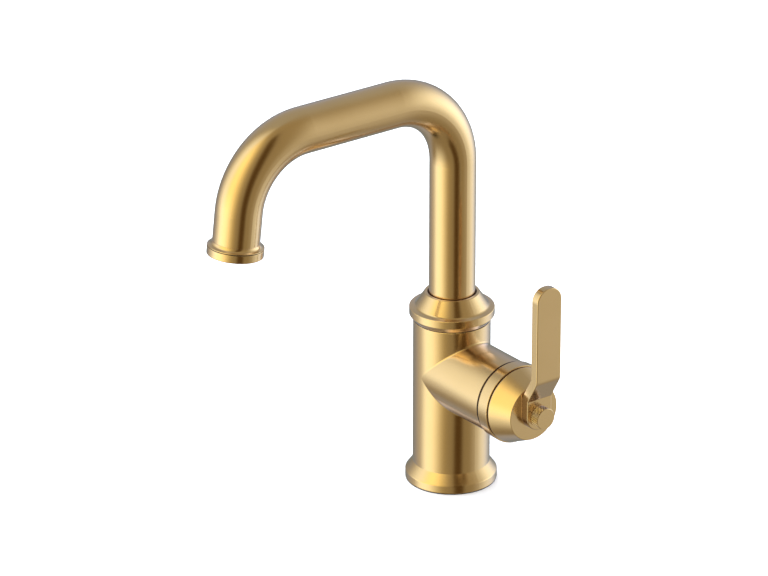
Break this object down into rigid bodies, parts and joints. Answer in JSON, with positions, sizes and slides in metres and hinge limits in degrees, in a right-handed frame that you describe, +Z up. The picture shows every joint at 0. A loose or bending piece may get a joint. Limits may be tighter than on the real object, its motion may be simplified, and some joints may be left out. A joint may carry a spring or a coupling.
{
  "type": "bathroom sink faucet",
  "caption": "Single-hole sink faucet: round body, side lever on a valve branch, and a swivelling tube spout with a level run between two round bends.",
  "frame": {"origin": "on the counter under the body's axis, at the middle of the gasket's underside", "axes": "+Z up, the spout reaches towards -Y, the valve branch and lever point towards +X"},
  "size_m": [0.1101, 0.184, 0.2422],
  "materials": {
    "brushed_gold": "satin-brushed gold coating",
    "plain_brass": "machined",
    "steel": "plain",
    "rubber": "matte",
    "slip_plastic": "smooth",
    "aerator_plastic": "smooth",
    "cartridge_plastic": "moulded",
    "ceramic": "lapped"
  },
  "bodies": {
    "body": {"base_gasket": "rubber", "base_ring": "brushed_gold", "body": "brushed_gold", "spout_stop_pin": "steel", "slip_ring_lower": "slip_plastic", "slip_ring_upper": "slip_plastic", "spout_collar": "brushed_gold", "collar_seal": "rubber", "spout_wiper": "rubber", "branch_seal": "rubber", "hub_wiper": "rubber", "cold_inlet_seal": "rubber", "hot_inlet_seal": "rubber", "mixed_outlet_seal": "rubber", "cartridge_base": "cartridge_plastic", "ceramic_disc_fixed": "ceramic", "cartridge_housing": "cartridge_plastic", "cartridge_nut": "plain_brass", "branch_trim_ring": "brushed_gold"},
    "spout": {"spout_tube": "brushed_gold", "spout_foot": "plain_brass", "spout_o_ring_lower": "rubber", "spout_o_ring_upper": "rubber", "outlet_collar": "brushed_gold", "outlet_seal": "rubber", "aerator_washer": "rubber", "aerator_insert": "aerator_plastic", "aerator_housing": "brushed_gold"},
    "handle": {"handle_hub": "brushed_gold", "hub_grub_screw": "steel", "lever": "brushed_gold", "lever_screw": "brushed_gold", "valve_spindle": "plain_brass", "spindle_o_ring": "rubber", "disc_carrier": "cartridge_plastic", "ceramic_disc_moving": "ceramic"}
  },
  "joints": [
    {"name": "spout_swivel", "type": "hinge", "parent": "body", "child": "spout", "pos_m": [0, 0, 0.0875], "axis": [0, 0, 1], "range_deg": [-60, 60]},
    {"name": "lever_turn", "type": "hinge", "parent": "body", "child": "handle", "pos_m": [0, 0, 0.0653], "axis": [1, 0, 0], "range_deg": [0, 90]}
  ]
}
